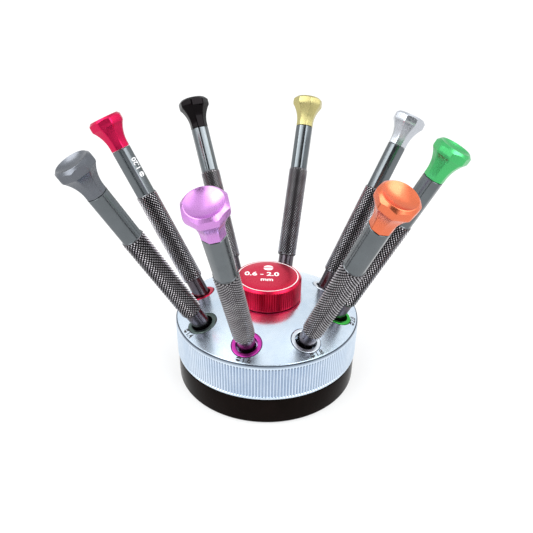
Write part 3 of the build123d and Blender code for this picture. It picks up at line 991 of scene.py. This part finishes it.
def make_handle(index, place):
    """The steel handle: bored nose, neck, knurled grip and octagonal end."""
    steel, flats, rough = 0, 1, 2
    shell = Shell()
    bore_end = NOSE_TIP + BLADE_BORE_DEPTH
    bore = shell.ring(circle(BLADE_BORE, bore_end, NECK_POINTS))
    shell.fan(bore, (0, 0, bore_end))
    nose = [
        (BLADE_BORE, NOSE_TIP), (NOSE_RADIUS - 0.25, NOSE_TIP), (NOSE_RADIUS, NOSE_TIP + 0.2),
        (NECK_RADIUS - 0.12, NOSE_TOP - 0.2), (NECK_RADIUS, NOSE_TOP + 0.15),
    ]
    last = neck_with_hole(shell, shell.lathe(nose, NECK_POINTS, bore, steel))
    shoulder = [(NECK_RADIUS, GRIP_LOW), (GRIP_RADIUS - 0.6, GRIP_LOW), (GRIP_RADIUS - 0.5, GRIP_LOW + 0.06)]
    last = knurl(shell, shell.lathe(shoulder, NECK_POINTS, last, steel), rough)
    neck = GRIP_RADIUS - KNURL_DEPTH / 2 - 0.05
    top = GRIP_HIGH - 0.3
    ring = even_ring(shell, neck, top)
    shell.zip(last, ring, rough)
    section = [(angle, FLAT_RADIUS * ratio) for angle, ratio in octagon(FLAT_CROWN)]
    slope = shell.ring(polar(r, a, top + SHOULDER_SLOPE * (neck - r)) for a, r in section)
    shell.band(ring, slope, flats)
    edge = octagon_ring(shell, FLAT_RADIUS, HANDLE_END - END_CHAMFER, FLAT_CROWN)
    end = octagon_ring(shell, FLAT_RADIUS - END_CHAMFER, HANDLE_END, FLAT_CROWN)
    last = shell.climb(slope, (edge, end), flats)
    pin_hole = [even_ring(shell, PIN_BORE, height) for height in (HANDLE_END, HANDLE_END - PIN_BORE_DEPTH)]
    last = shell.climb(last, pin_hole, steel)
    shell.fan(last, (0, 0, HANDLE_END - PIN_BORE_DEPTH), steel)
    name = f"knurled_handle_{index + 1}"
    made = shell.piece(name, [shaded_neck_steel, flat_steel, knurl_steel], place, sharp=radians(30))
    install(made, f"driver_{index + 1}", "handle_steel", f"handle_{index + 1}")

FLARE_START = 1.5
FLARE_RADIUS = 14.7
FLARE_STEPS = 12
FLARE_RISE = 0.68
BEVEL_INSET = 0.03
DISH_EDGE = 0.2
DISH_LIP = 0.05
DISH_SHARES = (0.93, 0.84, 0.72, 0.6, 0.46, 0.32, 0.18, 0.06)

def flare_outline():
    """(half width across flats, height) up the side of the head."""
    sides = [(FLAT_RADIUS - 0.1, 0), (FLAT_RADIUS, 0.1), (FLAT_RADIUS, FLARE_START)]
    for n in range(1, FLARE_STEPS + 1):
        rise = FLARE_RISE * n
        sides.append((FLAT_RADIUS + FLARE_RADIUS - sqrt(FLARE_RADIUS**2 - rise**2), FLARE_START + rise))
    sides += [(6.78, 10.1), (6.88, 10.5), (RIM_FLAT, 11.0), (RIM_FLAT, 11.4)]
    return sides

def make_head(index, colour, place):
    """The flared, dished swivel head."""
    shell = Shell()
    groove_low, groove_high = RING_GROOVE
    bore = [
        (HEAD_BORE, 0), (HEAD_BORE, groove_low), (RING_GROOVE_RADIUS, groove_low),
        (RING_GROOVE_RADIUS, groove_high), (HEAD_BORE, groove_high), (HEAD_BORE, HEAD_BORE_DEPTH),
    ]
    foot = even_ring(shell, *bore[0])
    last = shell.climb(foot, (even_ring(shell, radius, height) for radius, height in bore[1:]))
    shell.fan(last, (0, 0, HEAD_BORE_DEPTH))
    flare = (octagon_ring(shell, half_width, height, HEAD_CROWN) for half_width, height in flare_outline())
    last = shell.climb(foot, flare)
    section = [(angle, (RIM_FLAT - BEVEL_INSET) * ratio) for angle, ratio in octagon(HEAD_CROWN)]
    bevel = shell.ring(polar(r, a, HEAD_LENGTH - (r - DISH_RADIUS)) for a, r in section)
    shell.band(last, bevel)
    edge = DISH_RADIUS - DISH_EDGE
    rounds = [
        (DISH_RADIUS + 0.14, 0.11), (DISH_RADIUS, 0.02), (DISH_RADIUS - 0.1, 0.0), (edge, DISH_LIP),
    ]
    sphere = (edge**2 + DISH_DEPTH**2) / (2 * DISH_DEPTH)
    for share in DISH_SHARES:
        radius = edge * share
        depth = sqrt(sphere**2 - radius**2) - (sphere - DISH_DEPTH)
        rounds.append((radius, DISH_LIP + depth))
    last = shell.climb(bevel, (even_ring(shell, radius, HEAD_LENGTH - drop) for radius, drop in rounds))
    shell.fan(last, (0, 0, HEAD_LENGTH - DISH_LIP - DISH_DEPTH))
    name = f"flared_head_{index + 1}"
    made = shell.piece(name, [head_finish[colour]], place, sharp=radians(11))
    install(made, f"head_{index + 1}", f"head_{colour}", f"swivel_head_{index + 1}")

HANDLE_MARK_FLATS = [1, 0, 7, 4, 4, 5, 4, 1]
HANDLE_MARK_Z = -13.0
HANDLE_ICON_RADIUS = 1.2
HANDLE_SIZE_START = (2.1, -1.15)
HANDLE_SIZE_HEIGHT = 2.3

def make_handle_mark(index, place):
    """The icon and blade size printed in white along one flat of the handle."""
    shell = Shell()
    icon(shell, (0, 0), HANDLE_ICON_RADIUS)
    lettering(shell, SIZES[index] + "0", HANDLE_SIZE_START, HANDLE_SIZE_HEIGHT)
    face = FLAT_RADIUS * FLAT_CROWN + MARK_THICKNESS
    for point in shell.points:
        point.z = face if point.z > 0 else 0.0
    turn = 2 * pi / FLATS * HANDLE_MARK_FLATS[index]
    on_flat = rigid((FLAT_RADIUS, 0, HANDLE_MARK_Z), (0, 0, 1), (1, 0, 0))
    turned = Matrix.Rotation(turn, 4, "Z") @ on_flat
    shell.points = [turned @ p for p in shell.points]
    made = shell.piece(f"handle_print_{index + 1}", [white_ink], place, merge=0.001)
    install(made, f"driver_{index + 1}", "head_white")

make_turntable()
make_base()
make_foot()
make_cap()
make_cap_print()
for number, colour in enumerate(COLOURS):
    pivot = driver_place(number)
    make_bush(number, colour)
    make_size_mark(number, f"size_print_{number + 1}")
    make_handle(number, pivot)
    make_head(number, colour, pivot)
    make_handle_mark(number, pivot)

# ---- carried-over CAD pieces

CARRIED = {
    "spindle": bright_steel, "spindle_screw": blade_steel, "bearing_inner_ring": bright_steel,
    "bearing_outer_ring": bright_steel, "bearing_cage": bright_steel, "cap_liner": foam,
    "blade_rack": moulded, "spare_blades": blade_steel,
}
for number in range(1, DRIVERS + 1):
    for part in ("pivot_pin", "blade", "set_screw"):
        CARRIED[f"{part}_{number}"] = blade_steel
for node, finish in CARRIED.items():
    slots = frame["nodes"][node].data.materials
    slots.clear()
    slots.append(finish)

# ---- studio

FLOOR_REACH = 30.0
FLOOR_GREY = 0.3
FLOOR_GLOW = 0.63
SOFT_BOX_SIDE = 0.35
SOFT_BOX_TARGET = (0, 0, 0.05)
SOFT_BOXES = {"left": ((-0.45, -0.1, 0.5), 1.4), "right": ((0.45, -0.1, 0.5), 1.2)}

# Brightness of the room, and where it changes: degrees to either side of straight behind the
# viewer for the walls, and shares of a unit direction for heights and the ceiling.
DARK_PATCH = 0.1
BRIGHT_STRIP = 4.3
SIDE_WALL = 1.1
FAR_WALL = 1.0
CEILING = 1.08
BRIGHT_CEILING = 1.9
CEILING_FALL = 0.6
PATCH_END = (20, 36)
STRIP_END = (44, 76)
FAR_START = (100, 140)
PATCH_LOW_EDGE = (0.17, 0.25)
CEILING_EDGE = (0.78, 0.9)
BRIGHT_CEILING_START = (0.12, 0.36)
BRIGHT_CEILING_END = (0.45, 0.7)
ROOM_COLOUR = (0.965, 0.985, 1.0, 1)

CAMERA_PLACE = (5.30, -217.0, 171.27)
CAMERA_FORWARD = (0, 0.87007, -0.49293)
CAMERA_ROLL = radians(1.685)
CAMERA_LENS = 37.42
CAMERA_SHIFT = (-0.0247, 0.0214)

def make_floor():
    """A plain pale floor, far wider than the view."""
    mesh = bpy.data.meshes.new("studio_floor")
    reach = FLOOR_REACH
    corners = [(-reach, -reach, 0), (reach, -reach, 0), (reach, reach, 0), (-reach, reach, 0)]
    mesh.from_pydata(corners, [], [(0, 1, 2, 3)])
    floor = bpy.data.objects.new("studio_floor", mesh)
    bpy.context.scene.collection.objects.link(floor)
    finish = Finish("studio_floor")
    finish.shader.inputs["Base Color"].default_value = (FLOOR_GREY, FLOOR_GREY, FLOOR_GREY, 1)
    finish.shader.inputs["Emission Color"].default_value = (1, 1, 1, 1)
    finish.shader.inputs["Emission Strength"].default_value = FLOOR_GLOW
    finish.shader.inputs["Roughness"].default_value = 0.9
    finish.shader.inputs["Specular IOR Level"].default_value = 0.0
    mesh.materials.append(finish.material)

def make_soft_box(name, place, power):
    """A square soft box aimed at the stand, in metres and watts."""
    lamp = bpy.data.lights.new(name, "AREA")
    lamp.shape = "RECTANGLE"
    lamp.size = lamp.size_y = SOFT_BOX_SIDE
    lamp.energy = power
    holder = bpy.data.objects.new(name, lamp)
    holder.location = place
    aim = Vector(SOFT_BOX_TARGET) - Vector(place)
    holder.rotation_euler = aim.to_track_quat("-Z", "Y").to_euler()
    bpy.context.scene.collection.objects.link(holder)

def make_surroundings():
    """A bright room with a dark patch high behind the viewer, between two bright strips."""
    world = bpy.data.worlds.new("studio")
    world.use_nodes = True
    nodes = world.node_tree.nodes
    links = world.node_tree.links
    direction = nodes.new("ShaderNodeTexCoord").outputs["Generated"]
    split = nodes.new("ShaderNodeSeparateXYZ")
    links.new(direction, split.inputs["Vector"])

    def combine(operation, *values):
        """One maths node on numbers or sockets."""
        node = nodes.new("ShaderNodeMath")
        node.operation = operation
        for socket, value in zip(node.inputs, values):
            if isinstance(value, (int, float)):
                socket.default_value = value
            else:
                links.new(value, socket)
        return node.outputs["Value"]

    def step(value, span, before, after):
        """A smooth change of level over a span of a value."""
        node = nodes.new("ShaderNodeMapRange")
        node.interpolation_type = "SMOOTHSTEP"
        for name, number in zip(("From Min", "From Max", "To Min", "To Max"), (*span, before, after)):
            node.inputs[name].default_value = number
        links.new(value, node.inputs["Value"])
        return node.outputs["Result"]

    def blend(share, first, second):
        """The first level where the share is 0, the second where it is 1."""
        rest = combine("MULTIPLY", first, combine("SUBTRACT", 1.0, share))
        return combine("ADD", rest, combine("MULTIPLY", share, second))

    x, y, z = split.outputs
    turn = combine("MULTIPLY", combine("ARCTAN2", x, combine("MULTIPLY", y, -1.0)), degrees(1))
    aside = combine("ABSOLUTE", turn)
    behind = step(aside, PATCH_END, DARK_PATCH, BRIGHT_STRIP)
    strip_end = step(aside, STRIP_END, 0.0, BRIGHT_STRIP - SIDE_WALL)
    far = step(aside, FAR_START, 0.0, SIDE_WALL - FAR_WALL)
    high_wall = combine("SUBTRACT", combine("SUBTRACT", behind, strip_end), far)
    wall = blend(step(z, PATCH_LOW_EDGE, 0.0, 1.0), SIDE_WALL, high_wall)
    sideways = combine("ABSOLUTE", x)
    brighter = step(sideways, BRIGHT_CEILING_START, CEILING, BRIGHT_CEILING)
    ceiling = combine("SUBTRACT", brighter, step(sideways, BRIGHT_CEILING_END, 0.0, CEILING_FALL))
    level = blend(step(z, CEILING_EDGE, 0.0, 1.0), wall, ceiling)
    background = nodes["Background"]
    background.inputs["Color"].default_value = ROOM_COLOUR
    links.new(level, background.inputs["Strength"])
    bpy.context.scene.world = world

def make_camera():
    """The view from in front and above, level but for a slight roll."""
    forward = Vector(CAMERA_FORWARD).normalized()
    level_right = Vector((1, 0, 0))
    level_up = level_right.cross(forward)
    right = level_right * cos(CAMERA_ROLL) + level_up * sin(CAMERA_ROLL)
    up = right.cross(forward)
    lens = bpy.data.cameras.new("view")
    lens.lens = CAMERA_LENS
    lens.sensor_width = 36
    lens.shift_x, lens.shift_y = CAMERA_SHIFT
    lens.clip_start = 0.01
    camera = bpy.data.objects.new("view", lens)
    turn = Matrix((right, up, -forward)).transposed().to_4x4()
    camera.matrix_world = Matrix.Translation(Vector(CAMERA_PLACE) * MM) @ turn
    bpy.context.scene.collection.objects.link(camera)
    bpy.context.scene.camera = camera

make_floor()
for side, (place, power) in SOFT_BOXES.items():
    make_soft_box(f"soft_box_{side}", place, power)
make_surroundings()
make_camera()
bpy.context.scene.view_settings.view_transform = "Standard"
